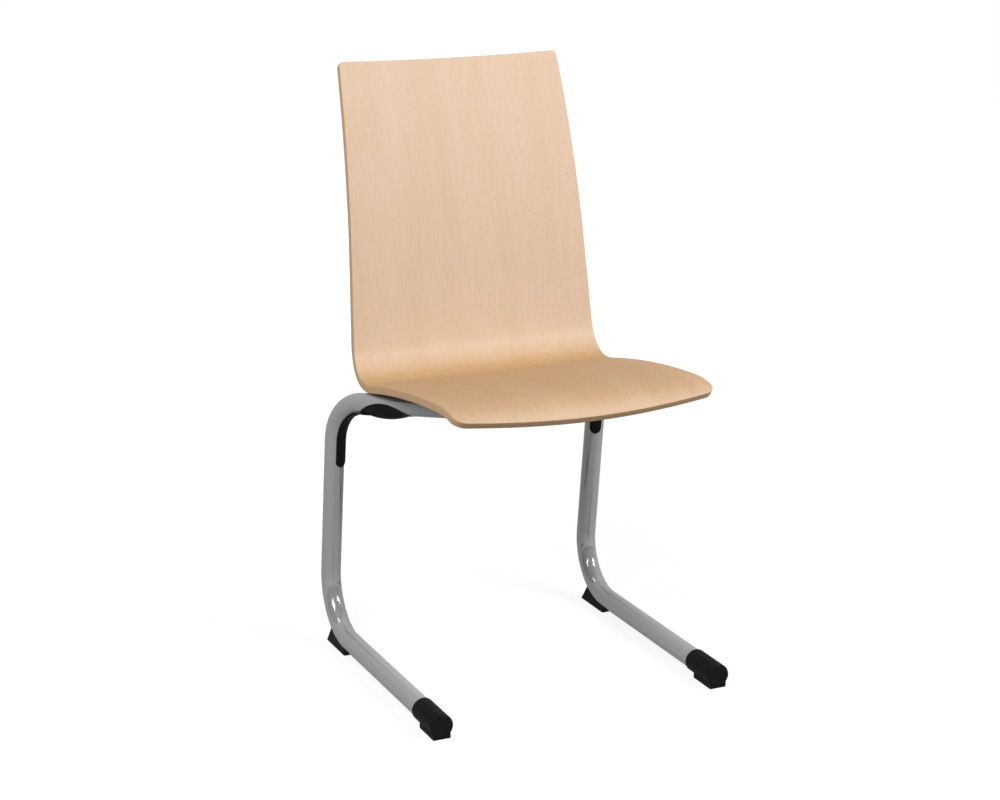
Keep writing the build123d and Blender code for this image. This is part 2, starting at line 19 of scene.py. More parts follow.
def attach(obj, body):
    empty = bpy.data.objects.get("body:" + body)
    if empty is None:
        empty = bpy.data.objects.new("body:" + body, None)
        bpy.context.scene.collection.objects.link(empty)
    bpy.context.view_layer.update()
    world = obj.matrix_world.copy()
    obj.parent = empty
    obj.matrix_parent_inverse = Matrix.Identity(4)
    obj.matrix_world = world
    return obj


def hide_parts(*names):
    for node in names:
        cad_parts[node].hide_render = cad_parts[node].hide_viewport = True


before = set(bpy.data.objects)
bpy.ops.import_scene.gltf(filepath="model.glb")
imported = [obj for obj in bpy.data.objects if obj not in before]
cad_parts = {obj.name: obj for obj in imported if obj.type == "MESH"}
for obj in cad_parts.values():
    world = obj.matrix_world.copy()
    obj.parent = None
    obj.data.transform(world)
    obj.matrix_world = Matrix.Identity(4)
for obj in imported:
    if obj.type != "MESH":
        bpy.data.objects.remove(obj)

log = logging.getLogger("shell_chair")
METRES = 0.001
Colour = tuple[float, float, float, float]
Place = tuple[float, float, float]
Waves = tuple[float, float, float]
Span = tuple[float, float]


class Slot(Enum):
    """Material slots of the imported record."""

    BEECH = "beech_plywood"
    SILVER = "silver_paint"


class Bench:
    """A material or a world, and the nodes that are laid out for it."""

    def __init__(self, owner: bpy.types.Material | bpy.types.World) -> None:
        """Clear the nodes of a material or of the world.

        Args:
            owner: What the nodes are for.
        """
        owner.use_nodes = True
        self.tree = owner.node_tree
        self.tree.nodes.clear()
        self.owner = owner

    @classmethod
    def for_material(cls, name: str) -> "Bench":
        """Start an empty material.

        Args:
            name: The material's name.

        Returns:
            The bench with the new material.
        """
        return cls(bpy.data.materials.new(name))

    def add(self, kind: str, values: dict | None = None, **settings: object) -> bpy.types.Node:
        """Add a node.

        Args:
            kind: The node's type without its ShaderNode prefix.
            values: Inputs by name or number, each a constant or another node's output.
            **settings: The node's own settings.

        Returns:
            The new node.
        """
        node = self.tree.nodes.new("ShaderNode" + kind)
        for name, value in settings.items():
            setattr(node, name, value)
        for key, value in (values or {}).items():
            if isinstance(value, bpy.types.NodeSocket):
                self.tree.links.new(value, node.inputs[key])
            else:
                node.inputs[key].default_value = value
        return node

    def math(self, operation: str, *values: object) -> bpy.types.NodeSocket:
        """Add a sum of up to three values.

        Args:
            operation: The kind of sum.
            *values: The constants or sockets that go in.

        Returns:
            The result's socket.
        """
        return self.add("Math", dict(enumerate(values)), operation=operation).outputs[0]

    def mix(self, share: object, first: object, second: object) -> bpy.types.NodeSocket:
        """Mix two colours.

        Args:
            share: How much of the second colour shows.
            first: The lower colour.
            second: The upper colour.

        Returns:
            The mixed colour's socket.
        """
        return self.add("Mix", {0: share, 6: first, 7: second}, data_type="RGBA").outputs[2]

    def ramp(self, value: object, low: float, high: float) -> bpy.types.NodeSocket:
        """Stretch a value so that low becomes 0 and high becomes 1, with nothing outside.

        Args:
            value: Socket with the value.
            low: What becomes 0.
            high: What becomes 1.

        Returns:
            The stretched value's socket.
        """
        values = {"Value": value, "From Min": low, "From Max": high}
        return self.add("MapRange", values, clamp=True).outputs[0]

    def around(self, middle: float, spread: float, pattern: object) -> bpy.types.NodeSocket:
        """Let a value swing with a pattern.

        Args:
            middle: The value where the pattern is a half.
            spread: How far apart the values for 0 and for 1 lie.
            pattern: Socket with the pattern.

        Returns:
            The value's socket.
        """
        return self.math("MULTIPLY_ADD", pattern, spread, middle - spread / 2)

    def towards(self, direction: object, side: Place) -> bpy.types.NodeSocket:
        """Tell how far a direction points to a side.

        Args:
            direction: Socket with the direction.
            side: The side, as a direction.

        Returns:
            The socket with about 1 towards the side, 0 across it and -1 away from it.
        """
        return self.add("VectorMath", {0: direction, 1: side}, operation="DOT_PRODUCT").outputs["Value"]

    def place(self) -> bpy.types.NodeSocket:
        """Read where a point lies on its piece.

        Returns:
            The socket with the place.
        """
        return self.add("TexCoord").outputs["Object"]

    def flat_shell(self) -> tuple[bpy.types.NodeSocket, bpy.types.NodeSocket, bpy.types.NodeSocket]:
        """Read where a point of the shell lies on the flat board.

        Returns:
            Its place across, its length from the dip and its depth as a share of the thickness.
        """
        across = self.add("SeparateXYZ", {0: self.place()}).outputs[0]
        along = self.add("Attribute", attribute_name="along").outputs["Fac"]
        depth = self.add("Attribute", attribute_name="depth").outputs["Fac"]
        return across, along, depth

    def rays(self) -> tuple[bpy.types.NodeSocket, bpy.types.NodeSocket]:
        """Tell the rays apart.

        Returns:
            1 for the camera's own rays, and 1 for mirrored or refracted rays.
        """
        path = self.add("LightPath").outputs
        mirrored = self.math("MAXIMUM", path["Is Glossy Ray"], path["Is Transmission Ray"])
        return path["Is Camera Ray"], mirrored

    def noise(self, place: object, waves: Waves, detail: float = 2.0) -> bpy.types.NodeSocket:
        """Add a noise pattern with its own scale along each axis.

        Args:
            place: Socket with the place on the piece.
            waves: Waves per metre along each axis.
            detail: How many finer layers it has.

        Returns:
            The pattern's value, about a half on average.
        """
        stretched = self.add("Mapping", {"Vector": place, "Scale": waves}).outputs[0]
        values = {"Vector": stretched, "Scale": 1.0, "Detail": detail}
        return self.add("TexNoise", values).outputs[0]

    def relief(self, height: object, strength: float, depth: float) -> bpy.types.NodeSocket:
        """Turn a height pattern into fine relief.

        Args:
            height: Socket with the pattern.
            strength: How much of the relief shows.
            depth: The relief's depth in metres.

        Returns:
            The socket with the relief's normal.
        """
        values = {"Height": height, "Strength": strength, "Distance": depth}
        return self.add("Bump", values).outputs[0]

    def surface(self, **values: object) -> bpy.types.Material:
        """Close the material with one surface shader.

        Args:
            **values: The shader's inputs, with underscores for spaces.

        Returns:
            The finished material.
        """
        named = {name.replace("_", " "): value for name, value in values.items()}
        shader = self.add("BsdfPrincipled", named)
        self.add("OutputMaterial", {"Surface": shader.outputs[0]})
        return self.owner


@dataclass(frozen=True)
class BeechVeneer:
    """Lacquered face veneer: soft broad streaks, fine fibres and short dark flecks along the grain.

    The spans are lengths from the dip: where painted shade turns the back's tone into the warmer, darker
    seat, where a painted highlight pales the seat towards the nose, and where a further painted highlight
    pales the nose towards its rim.
    """

    pale: Colour = (0.662, 0.502, 0.380, 1.0)
    warm: Colour = (0.494, 0.309, 0.159, 1.0)
    fleck: Colour = (0.360, 0.205, 0.105, 1.0)
    broad_waves: Waves = (26.0, 1.6, 90.0)
    fibre_waves: Waves = (900.0, 12.0, 90.0)
    stagger_waves: Waves = (450.0, 0.0, 90.0)
    fleck_waves: Waves = (800.0, 105.0, 90.0)
    fleck_range: Span = (0.53, 0.68)
    stagger: float = 0.4
    broad_share: float = 0.45
    fibre_share: float = 0.35
    tone_shift: float = -0.16
    # The next six fields place and weigh the painted seat shade and the painted highlights on the nose and
    # its rim.
    painted_shade_span: Span = (0.056, 0.016)
    nose_highlight_span: Span = (-0.20, -0.34)
    rim_highlight_span: Span = (-0.316, -0.348)
    nose_painted_highlight: float = 0.24
    rim_painted_highlight: float = 0.50
    seat_painted_shade: float = 0.75
    fleck_strength: float = 0.32
    seat_fleck_strength: float = 0.48
    fibre_height: float = 0.5
    relief: float = 0.10
    relief_depth: float = 0.0002
    roughness: float = 0.66
    roughness_spread: float = 0.10
    gloss: float = 0.36

    def material(self) -> bpy.types.Material:
        """Lay out the veneer along the shell's own length attribute.

        Returns:
            The veneer's material.
        """
        bench = Bench.for_material("beech_veneer")
        across, along, depth = bench.flat_shell()
        place = bench.add("CombineXYZ", {0: across, 1: along, 2: depth}).outputs[0]
        broad = bench.noise(place, self.broad_waves, detail=4.0)
        fibre = bench.noise(place, self.fibre_waves, detail=3.0)
        # Painted highlight: the painted seat shade fades towards the nose, so the nose is coloured paler.
        nose = bench.math("MULTIPLY_ADD", bench.ramp(along, *self.nose_highlight_span), -self.nose_painted_highlight, 1.0)
        # Painted highlight: the painted seat shade fades further along the nose's rim, so the rim is coloured
        # paler still.
        rim = bench.math("MULTIPLY_ADD", bench.ramp(along, *self.rim_highlight_span), -self.rim_painted_highlight, nose)
        # Painted shade: the seat is coloured warmer and darker than the back, as if less light fell on it.
        painted_seat_shade = bench.math("MULTIPLY", bench.ramp(along, *self.painted_shade_span), rim)
        shift = bench.noise(place, self.stagger_waves, detail=0.0)
        shifted = bench.math("MULTIPLY_ADD", shift, self.stagger, along)
        strand = bench.add("CombineXYZ", {0: across, 1: shifted, 2: depth}).outputs[0]
        dashes = bench.ramp(bench.noise(strand, self.fleck_waves, detail=1.0), *self.fleck_range)
        # The flecks grow stronger where the painted seat shade lies, and fade with it at the nose and rim.
        strength = bench.math("MULTIPLY_ADD", painted_seat_shade, self.seat_fleck_strength, self.fleck_strength)
        flecks = bench.math("MULTIPLY", dashes, strength)
        streaks = bench.math("MULTIPLY_ADD", broad, self.broad_share, self.tone_shift)
        tone = bench.math("MULTIPLY_ADD", fibre, self.fibre_share, streaks)
        # The warm share mixes the veneer's random tone with the painted seat shade.
        tone_and_painted_shade = bench.math("MULTIPLY_ADD", painted_seat_shade, self.seat_painted_shade, tone)
        wood = bench.mix(tone_and_painted_shade, self.pale, self.warm)
        height = bench.math("SUBTRACT", bench.math("MULTIPLY", fibre, self.fibre_height), flecks)
        return bench.surface(
            Base_Color=bench.mix(flecks, wood, self.fleck),
            Roughness=bench.around(self.roughness, self.roughness_spread, fibre),
            Normal=bench.relief(height, self.relief, self.relief_depth),
            Specular_IOR_Level=self.gloss,
        )


@dataclass(frozen=True)
class PlyEdge:
    """Sanded edge of the shell, with its plies and glue lines."""

    plies: int = 7
    long_grain: Colour = (0.690, 0.435, 0.245, 1.0)
    end_grain: Colour = (0.630, 0.410, 0.245, 1.0)
    glue: Colour = (0.160, 0.085, 0.038, 1.0)
    waver_waves: Waves = (35.0, 35.0, 0.0)
    stroke_waves: Waves = (480.0, 480.0, 2.0)
    pore_waves: Waves = (420.0, 420.0, 900.0)
    waver: float = 0.16
    side_range: Span = (0.4, 0.8)
    ply_range: Span = (0.44, 0.56)
    seam_range: Span = (0.03, 0.12)
    stroke_range: Span = (0.45, 0.80)
    side_fading: float = 0.65
    seam_share: float = 0.85
    stroke_share: float = 0.45
    relief: float = 0.15
    relief_depth: float = 0.0002
    roughness: float = 0.60
    gloss: float = 0.15

    def material(self) -> bpy.types.Material:
        """Lay out the plies by the shell's depth attribute.

        Every other ply runs across, so a ply with end grain at the front has long grain at the sides.

        Returns:
            The edge's material.
        """
        bench = Bench.for_material("beech_ply_edge")
        across, along, depth = bench.flat_shell()
        place = bench.add("CombineXYZ", {0: across, 1: along, 2: depth}).outputs[0]
        normal = bench.add("NewGeometry").outputs["Normal"]
        facing = bench.add("SeparateXYZ", {0: normal}).outputs[0]
        side = bench.ramp(bench.math("ABSOLUTE", facing), *self.side_range)
        waver = bench.around(0.0, self.waver, bench.noise(place, self.waver_waves))
        layer = bench.math("MULTIPLY_ADD", depth, self.plies, waver)
        turn = bench.math("PINGPONG", bench.math("SUBTRACT", layer, 0.5), 1.0)
        crossing = bench.math("ADD", bench.ramp(turn, *self.ply_range), side)
        ends = bench.math("ABSOLUTE", bench.math("SUBTRACT", crossing, 1.0))
        sanded = bench.math("MULTIPLY_ADD", side, -self.side_fading, 1.0)
        inside = bench.ramp(bench.math("PINGPONG", layer, 0.5), *self.seam_range)
        seam = bench.math("MULTIPLY", bench.math("SUBTRACT", 1.0, inside), sanded)
        strokes = bench.ramp(bench.noise(place, self.stroke_waves), *self.stroke_range)
        wood = bench.mix(bench.math("MULTIPLY", ends, sanded), self.long_grain, self.end_grain)
        marked = bench.mix(bench.math("MULTIPLY", strokes, self.stroke_share), wood, self.end_grain)
        pores = bench.noise(place, self.pore_waves)
        return bench.surface(
            Base_Color=bench.mix(bench.math("MULTIPLY", seam, self.seam_share), marked, self.glue),
            Roughness=self.roughness,
            Normal=bench.relief(pores, self.relief, self.relief_depth),
            Specular_IOR_Level=self.gloss,
        )


@dataclass(frozen=True)
class SilverPaint:
    """Semi-gloss powder coat with fine metal flake and a slight orange peel."""

    grey: Colour = (0.352, 0.352, 0.352, 1.0)
    flake: Colour = (0.397, 0.397, 0.397, 1.0)
    flake_waves: Waves = (2600.0, 2600.0, 2600.0)
    flake_range: Span = (0.40, 0.65)
    peel_waves: Waves = (420.0, 420.0, 420.0)
    peel: float = 0.03
    peel_depth: float = 0.00004
    mirror: float = 0.26
    roughness: float = 0.03

    def material(self) -> bpy.types.Material:
        """Lay out the paint on object coordinates.

        It mirrors through its share of metal alone: a clear coat would make the tubes' edges too light.

        Returns:
            The paint's material.
        """
        bench = Bench.for_material("silver_paint")
        place = bench.place()
        sparkle = bench.ramp(bench.noise(place, self.flake_waves, detail=1.0), *self.flake_range)
        return bench.surface(
            Base_Color=bench.mix(sparkle, self.grey, self.flake),
            Metallic=self.mirror,
            Roughness=self.roughness,
            Normal=bench.relief(bench.noise(place, self.peel_waves), self.peel, self.peel_depth),
            Specular_IOR_Level=0.0,
        )


@dataclass(frozen=True)
class BlackPlastic:
    """Moulded black plastic with a fine spark-eroded texture and a thin sheen."""

    black: Colour = (0.0085, 0.0085, 0.0085, 1.0)
    worn: Colour = (0.0110, 0.0110, 0.0110, 1.0)
    wear_waves: Waves = (45.0, 45.0, 45.0)
    wear_range: Span = (0.40, 0.70)
    grain_waves: Waves = (1500.0, 1500.0, 1500.0)
    grain: float = 0.08
    grain_depth: float = 0.00005
    roughness: float = 0.50
    roughness_spread: float = 0.14
    sheen: float = 0.08
    sheen_roughness: float = 0.06

    def material(self) -> bpy.types.Material:
        """Lay out the plastic on object coordinates.

        Returns:
            The plastic's material.
        """
        bench = Bench.for_material("black_plastic")
        place = bench.place()
        wear = bench.noise(place, self.wear_waves, detail=3.0)
        return bench.surface(
            Base_Color=bench.mix(bench.ramp(wear, *self.wear_range), self.black, self.worn),
            Roughness=bench.around(self.roughness, self.roughness_spread, wear),
            Normal=bench.relief(bench.noise(place, self.grain_waves), self.grain, self.grain_depth),
            Specular_IOR_Level=0.0,
            Coat_Weight=self.sheen,
            Coat_Roughness=self.sheen_roughness,
        )


@dataclass(frozen=True)
class PlatedMetal:
    """Bare turned metal for the small fixings, with fine turning marks."""

    name: str
    bright: Colour
    dull: Colour
    roughness: float
    roughness_spread: float = 0.14
    stain_waves: Waves = (160.0, 160.0, 160.0)
    stain_range: Span = (0.40, 0.72)
    mark_waves: Waves = (300.0, 300.0, 3800.0)
    relief: float = 0.15
    relief_depth: float = 0.00005

    def material(self) -> bpy.types.Material:
        """Lay out the metal on object coordinates.

        Returns:
            The metal's material.
        """
        bench = Bench.for_material(self.name)
        place = bench.place()
        marks = bench.noise(place, self.mark_waves)
        stain = bench.ramp(bench.noise(place, self.stain_waves, detail=3.0), *self.stain_range)
        return bench.surface(
            Base_Color=bench.mix(stain, self.bright, self.dull),
            Metallic=1.0,
            Roughness=bench.around(self.roughness, self.roughness_spread, marks),
            Normal=bench.relief(marks, self.relief, self.relief_depth),
        )


def ahead(angle: float) -> Vector:
    """Give a direction in the side view.

    Args:
        angle: 0 is forward, 90 is up and 180 is backward.

    Returns:
        The direction's Y and Z.
    """
    return Vector((-math.cos(math.radians(angle)), math.sin(math.radians(angle))))


def ease(value: float, start: float, end: float) -> float:
    """Step smoothly from 0 to 1.

    Args:
        value: Where the step is read.
        start: Where it leaves 0.
        end: Where it reaches 1.

    Returns:
        The step's height.
    """
    share = min(1.0, max(0.0, (value - start) / (end - start)))
    return share * share * (3 - 2 * share)


@dataclass(frozen=True)
class ProfileLeg:
    """Straight or arc of the shell's side profile, in the plane of Y and Z."""

    start: Vector
    heading: float
    length: float
    turn: float

    def point(self, distance: float, offset: float) -> Vector:
        """Find a point beside the leg.

        Args:
            distance: Length along the leg.
            offset: How far the point lies to the left of the leg.

        Returns:
            The point's Y and Z.
        """
        heading = self.heading + self.turn * distance / self.length
        if self.turn == 0:
            return self.start + ahead(heading) * distance + ahead(heading + 90) * offset
        radius = self.length / math.radians(self.turn)
        centre = self.start + ahead(self.heading + 90) * radius
        return centre + ahead(heading + 90) * (offset - radius)


@dataclass
class ShellProfile:
    """Side profile of the sitting face: two paths from the dip, to the nose and to the top."""

    thickness: float = 11.5
    dip_height: float = 422.2
    dip_radius: float = 46.4
    seat_rise: float = 13.3
    seat_radius: float = 1480.0
    seat_turn: float = 10.6
    nose_radius: float = 113.0
    nose_turn: float = 36.2
    recline: float = 8.1
    back_flat: float = 117.5
    back_radius: float = 1325.0
    back_turn: float = 13.18
    easing: float = 16.0
    easing_steps: int = 3

    def __post_init__(self) -> None:
        """Lay out both paths, with the origin midway between the nose and the back's rear edge."""
        self.dip = Vector((0.0, self.dip_height))
        self._lay_out()
        nose = self.point(-self.seat_length, 0.0)
        rear = self.point(self.back_length, self.thickness)
        self.dip = Vector((-(nose.x + rear.x) / 2, self.dip_height))
        self._lay_out()

    def _lay_out(self) -> None:
        """Set the legs of both paths from the dip outward."""
        self.seat = self._walk(0.0, [
            (self.dip_radius, self.seat_rise),
            (self.seat_radius, -self.seat_turn),
            (self.nose_radius, -self.nose_turn),
        ])
        self.back = self._walk(180.0, [
            (self.dip_radius, self.recline - 90.0),
            (self.back_flat, 0.0),
            (self.back_radius, self.back_turn),
        ])
        self.seat_length = sum(leg.length for leg in self.seat)
        self.back_length = sum(leg.length for leg in self.back)
        self.seat_level = ahead(self.seat_rise - self.seat_turn - self.nose_turn)
        self.back_level = ahead(90.0 + self.recline + self.back_turn)
        self.lowest = self.level(-self.seat_length)
        self.highest = self.level(self.back_length)

    def _walk(self, heading: float, steps: list[tuple[float, float]]) -> list[ProfileLeg]:
        """Join legs end to end.

        Args:
            heading: Direction in which the path leaves the dip.
            steps: Radius and turn of each arc, or length and 0 of each straight.

        Returns:
            The legs in order.
        """
        legs: list[ProfileLeg] = []
        start = self.dip
        for size, turn in steps:
            length = size * math.radians(abs(turn)) if turn else size
            legs.append(ProfileLeg(start, heading, length, turn))
            start = legs[-1].point(length, 0.0)
            heading += turn
        return legs

    def point(self, along: float, depth: float) -> Vector:
        """Find a point of the shell.

        Args:
            along: Length from the dip, negative towards the nose and positive towards the top.
            depth: How far the point lies behind or below the sitting face.

        Returns:
            The point's Y and Z.
        """
        legs, side = (self.back, 1) if along >= 0 else (self.seat, -1)
        rest = abs(along)
        for leg in legs[:-1]:
            if rest <= leg.length:
                return leg.point(rest, side * depth)
            rest -= leg.length
        return legs[-1].point(rest, side * depth)

    def eased(self, along: float, depth: float) -> Vector:
        """Find a point of the shell with its changes of bend evened out, as in moulded veneers.

        Args:
            along: Length from the dip.
            depth: How far the point lies behind or below the sitting face.

        Returns:
            The point's Y and Z.
        """
        count = self.easing_steps
        steps = [self.easing * part / count for part in range(-count, count + 1)]
        places = [self.point(along + step, depth) for step in steps]
        return sum(places, Vector((0.0, 0.0))) / len(places)

    def level(self, along: float) -> float:
        """Find the level of a point, in which the outline is drawn.

        Args:
            along: Length from the dip.

        Returns:
            The distance from the dip as seen square to the nose or to the top.
        """
        away = self.point(along, 0.0) - self.dip
        return away.dot(self.back_level) if along >= 0 else -away.dot(self.seat_level)

    def along_at(self, level: float) -> float:
        """Find where the sitting face reaches a level, by halving.

        Args:
            level: The level to reach.

        Returns:
            The length from the dip.
        """
        low, high = -self.seat_length - 1.0, self.back_length + 1.0
        for _ in range(40):
            middle = (low + high) / 2
            if self.level(middle) < level:
                low = middle
            else:
                high = middle
        return (low + high) / 2

    def row_levels(self, step: float, angle: float) -> list[float]:
        """Levels of the cuts across the shell.

        Args:
            step: Longest way between two cuts.
            angle: Largest turn between two cuts.

        Returns:
            The levels from the nose to the top, without the ends.
        """
        rows = [0.0]
        for legs, side in ((self.seat, -1), (self.back, 1)):
            passed = 0.0
            for leg in legs:
                count = math.ceil(max(leg.length / step, abs(leg.turn) / angle))
                for part in range(1, count + 1):
                    rows.append(side * (passed + leg.length * part / count))
                passed += leg.length
        return sorted(self.level(row) for row in rows)


@dataclass
class Shell:
    """The moulded seat and back in one piece of plywood."""

    profile: ShellProfile = field(default_factory=ShellProfile)
    face: BeechVeneer = field(default_factory=BeechVeneer)
    edge: PlyEdge = field(default_factory=PlyEdge)
    seat_width: float = 395.2
    top_width: float = 351.0
    nose_bow: float = 19.5
    nose_corner: float = 15.7
    top_hollow: float = 3.0
    top_corner: float = 8.3
    side_blend: float = 12.0
    edge_round: float = 1.5
    rim_width: float = 5.0
    columns: int = 16
    row_step: float = 12.0
    row_angle: float = 3.0
    nose_row: float = 40.0
    top_row: float = 30.0
    corner_segments: int = 8
    edge_segments: int = 3
    rim_angle: float = 60.0
    bow_span: Span = (45.0, 280.0)
    hollow_span: Span = (20.0, 200.0)

    def build(self) -> bpy.types.Object:
        """Make the shell from a flat board that is cut to shape and then bent.

        Returns:
            The shell's object, which stands for the CAD shell.
        """
        board = self._flat_board()
        self._bend(board)
        bmesh.ops.scale(board, vec=(METRES,) * 3, verts=board.verts)
        bmesh.ops.recalc_face_normals(board, faces=board.faces)
        mesh = bpy.data.meshes.new("plywood_shell")
        board.to_mesh(mesh)
        board.free()
        shell = bpy.data.objects.new("plywood_shell", mesh)
        bpy.context.scene.collection.objects.link(shell)
        shell.modifiers.new("even_shading", "WEIGHTED_NORMAL")
        return shell

    def dress(self, shell: bpy.types.Object) -> None:
        """Give the shell its veneer and its edge, and let it stand for the CAD shell.

        Args:
            shell: The object that build made.
        """
        shell.data.materials.append(self.face.material())
        shell.data.materials.append(self.edge.material())
        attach(shell, "root")
        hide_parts("seat_shell")

    def _flat_board(self) -> BMesh:
        """Cut the flat board: X across, Y the level along the shell and Z the depth.

        Returns:
            The board, with its faces and its edges marked for their materials.
        """
        board = bmesh.new()
        bmesh.ops.create_grid(board, x_segments=self.columns, y_segments=3, size=1.0)
        lowest, highest = self.profile.lowest, self.profile.highest
        levels = (lowest, lowest + self.nose_row, highest - self.top_row, highest)
        for vert in board.verts:
            vert.co.x *= self.seat_width / 2
            vert.co.y = levels[round((vert.co.y + 1) * 1.5)]
        self._round_corners(board)
        bmesh.ops.inset_region(
            board,
            faces=board.faces[:],
            thickness=self.rim_width,
            use_boundary=True,
            use_even_offset=True,
        )
        self._cut_rows(board)
        self._thicken(board)
        for face in board.faces:
            face.smooth = True
            face.material_index = 1 if abs(face.normal.z) < 0.4 else 0
        return board

    def _round_corners(self, board: BMesh) -> None:
        """Round the board's four corners.

        Args:
            board: The flat board, still without thickness.
        """
        for end, offset in (
            (self.profile.lowest, self.nose_corner),
            (self.profile.highest, self.top_corner),
        ):
            corners = [vert for vert in board.verts if len(vert.link_edges) == 2]
            bmesh.ops.bevel(
                board,
                geom=[vert for vert in corners if abs(vert.co.y - end) < 1.0],
                offset=offset,
                offset_type="OFFSET",
                affect="VERTICES",
                segments=self.corner_segments,
                profile=0.5,
                material=-1,
            )

    def _cut_rows(self, board: BMesh) -> None:
        """Cut the board across wherever it is to bend.

        Args:
            board: The flat board, still without thickness.
        """
        profile = self.profile
        near_end = self.rim_width + 1.0
        for level in profile.row_levels(self.row_step, self.row_angle):
            if profile.lowest + near_end < level < profile.highest - near_end:
                bmesh.ops.bisect_plane(
                    board,
                    geom=board.verts[:] + board.edges[:] + board.faces[:],
                    dist=0.01,
                    plane_co=(0.0, level, 0.0),
                    plane_no=(0.0, 1.0, 0.0),
                )

    def _thicken(self, board: BMesh) -> None:
        """Give the board its thickness and round its edges.

        Args:
            board: The flat board.
        """
        thickened = bmesh.ops.extrude_face_region(board, geom=board.faces[:])
        lower = [item for item in thickened["geom"] if isinstance(item, bmesh.types.BMVert)]
        bmesh.ops.translate(board, vec=(0.0, 0.0, self.profile.thickness), verts=lower)
        bmesh.ops.recalc_face_normals(board, faces=board.faces)
        least = math.radians(self.rim_angle)
        sharp = [edge for edge in board.edges if edge.calc_face_angle(0.0) > least]
        bmesh.ops.bevel(
            board,
            geom=[edge for edge in sharp if abs(edge.verts[0].co.z - edge.verts[1].co.z) < 0.1],
            offset=self.edge_round,
            offset_type="OFFSET",
            affect="EDGES",
            segments=self.edge_segments,
            profile=0.5,
            material=-1,
        )

    def _half_width(self, level: float) -> float:
        """Find half of the shell's width: even along the seat, then a blend into the back's taper.

        Args:
            level: The level at which it is measured.

        Returns:
            Half of the width.
        """
        foot, top = self.seat_width / 2, self.top_width / 2
        slope = (foot - top) / (self.profile.highest - self.side_blend)
        if level <= 0:
            return foot
        if level >= 2 * self.side_blend:
            return foot - slope * (level - self.side_blend)
        return foot - slope * level**2 / (4 * self.side_blend)

    def _outlined(self, across: float, level: float) -> tuple[float, float]:
        """Move a point of the straight board to the bowed, hollow and tapered outline.

        Args:
            across: The point's X on the straight board.
            level: The point's level on the straight board.

        Returns:
            The point's X and level on the shell.
        """
        half = self.seat_width / 2
        share = across / half
        bow_radius = (half**2 + self.nose_bow**2) / (2 * self.nose_bow)
        bow = bow_radius - math.sqrt(bow_radius**2 - across**2)
        behind_nose = level - self.profile.lowest
        below_top = self.profile.highest - level
        level += bow * (1 - ease(behind_nose, *self.bow_span))
        level -= self.top_hollow * (1 - share**2) * (1 - ease(below_top, *self.hollow_span))
        return share * self._half_width(level), level

    def _bend(self, board: BMesh) -> None:
        """Bend the flat board to the profile, and keep each point's length and depth as attributes.

        Args:
            board: The flat board, whose points move.
        """
        profile = self.profile
        along_layer = board.verts.layers.float.new("along")
        depth_layer = board.verts.layers.float.new("depth")
        for vert in board.verts:
            depth = vert.co.z
            across, level = self._outlined(vert.co.x, vert.co.y)
            along = profile.along_at(level)
            vert[along_layer] = along * METRES
            vert[depth_layer] = depth / profile.thickness
            place = profile.eased(self._square_to_nose(along, depth), depth)
            vert.co = (across, place.x, place.y)

    def _square_to_nose(self, along: float, depth: float) -> float:
        """Shift a point below the nose, so that the front edge is cut square to the nose's end.

        Args:
            along: The point's length on the sitting face.
            depth: The point's depth.

        Returns:
            The length to place the point at.
        """
        radius = self.profile.nose_radius
        angle = (along + self.profile.seat_length) / radius
        full = math.radians(self.profile.nose_turn)
        if not 0 < angle < full:
            return along
        cut = math.asin(min(1.0, math.sin(angle) * radius / (radius - depth)))
        return along + (cut - angle) * radius * (1 - ease(angle, full / 2, full))


